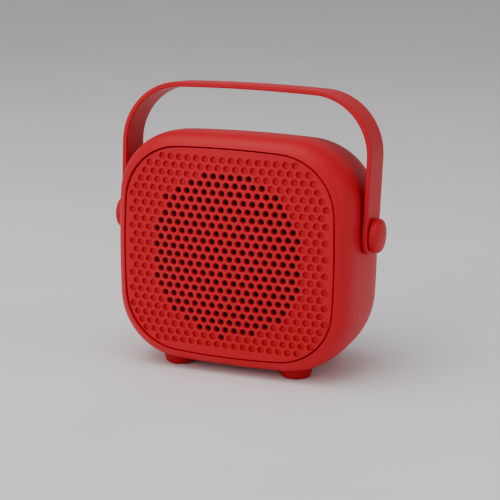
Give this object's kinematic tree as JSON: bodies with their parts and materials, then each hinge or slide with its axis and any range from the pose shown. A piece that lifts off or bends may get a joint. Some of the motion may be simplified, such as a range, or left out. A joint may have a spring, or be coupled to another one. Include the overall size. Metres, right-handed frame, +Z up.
{
  "type": "party speaker",
  "caption": "Small portable party speaker: rounded-square moulded case, domed front panel of dimples and sound holes, bail handle, round feet and rear controls.",
  "frame": {"origin": "on the ground, under the middle of the object's bounding box", "axes": "+Z up, -Y is the front with the sound holes, +X to the right seen from the front"},
  "size_m": [0.1232, 0.065, 0.123],
  "materials": {
    "red_shell": "fine satin moulded plastic",
    "red_handle": "satin moulded plastic, slightly flexible",
    "red_rubber": "matte moulded rubber",
    "red_buttons": "satin moulded plastic",
    "black_cloth": "fine woven acoustic cloth",
    "black_plastic": "matte moulded plastic",
    "paper_cone": "pressed paper pulp",
    "black_rubber": "matte rubber",
    "spider_cloth": "resin-treated woven cloth",
    "pressed_steel": "zinc-plated pressed steel",
    "ferrite": "ground ferrite",
    "coil_copper": "enamelled copper winding",
    "screw_steel": "zinc-plated steel",
    "board_green": "solder-masked glass epoxy",
    "chip_black": "moulded epoxy and nylon",
    "cell_wrap": "shrink-wrapped sleeve",
    "clear_light": "clear polished acrylic",
    "light_white": "moulded lens",
    "wire_red": "soft insulation",
    "wire_black": "soft insulation"
  },
  "bodies": {
    "housing": {"acoustic_cloth": "black_cloth", "amplifier_chip": "chip_black", "aux_socket": "chip_black", "baffle": "black_plastic", "baffle_screws": "screw_steel", "battery_bands": "black_rubber", "battery_cell": "cell_wrap", "battery_cradle": "black_plastic", "battery_wire_left": "wire_black", "battery_wire_right": "wire_red", "board_screws": "screw_steel", "capacitors": "chip_black", "card_slot": "pressed_steel", "charging_socket": "pressed_steel", "circuit_board": "board_green", "cone": "paper_cone", "cover_screws": "screw_steel", "driver_basket": "pressed_steel", "driver_gasket": "black_rubber", "driver_screws": "screw_steel", "dust_cap": "paper_cone", "foot_front_left": "red_rubber", "foot_front_right": "red_rubber", "foot_rear_left": "red_rubber", "foot_rear_right": "red_rubber", "front_panel": "red_shell", "housing": "red_shell", "light_pipe": "clear_light", "magnet": "ferrite", "microphone": "black_plastic", "pivot_cap_left": "red_handle", "pivot_cap_right": "red_handle", "pivot_screws": "screw_steel", "pivot_washers": "pressed_steel", "power_switch": "pressed_steel", "radio_module": "chip_black", "rear_cover": "red_shell", "speaker_wire_left": "wire_black", "speaker_wire_right": "wire_red", "spider": "spider_cloth", "status_light": "light_white", "surround": "black_rubber", "tact_switches": "chip_black", "terminal_strip": "paper_cone", "top_plate": "pressed_steel", "voice_coil": "coil_copper", "yoke": "pressed_steel"},
    "handle": {"handle": "red_handle"},
    "mode_button": {"mode_button": "red_buttons"},
    "back_button": {"back_button": "red_buttons"},
    "play_button": {"play_button": "red_buttons"},
    "next_button": {"next_button": "red_buttons"},
    "power_knob": {"power_knob": "black_plastic"}
  },
  "joints": [
    {"name": "handle_swing", "type": "hinge", "parent": "housing", "child": "handle", "pos_m": [0, -0.0073, 0.0624], "axis": [1, 0, 0], "range_deg": [-122, 142]},
    {"name": "mode_button_press", "type": "slide", "parent": "housing", "child": "mode_button", "axis": [0, -1, 0], "range_m": [0, 0.0006], "stiffness_N_per_m": 800},
    {"name": "back_button_press", "type": "slide", "parent": "housing", "child": "back_button", "axis": [0, -1, 0], "range_m": [0, 0.0006], "stiffness_N_per_m": 800},
    {"name": "play_button_press", "type": "slide", "parent": "housing", "child": "play_button", "axis": [0, -1, 0], "range_m": [0, 0.0006], "stiffness_N_per_m": 800},
    {"name": "next_button_press", "type": "slide", "parent": "housing", "child": "next_button", "axis": [0, -1, 0], "range_m": [0, 0.0006], "stiffness_N_per_m": 800},
    {"name": "power_slide", "type": "slide", "parent": "housing", "child": "power_knob", "axis": [1, 0, 0], "range_m": [0, 0.0024]}
  ]
}
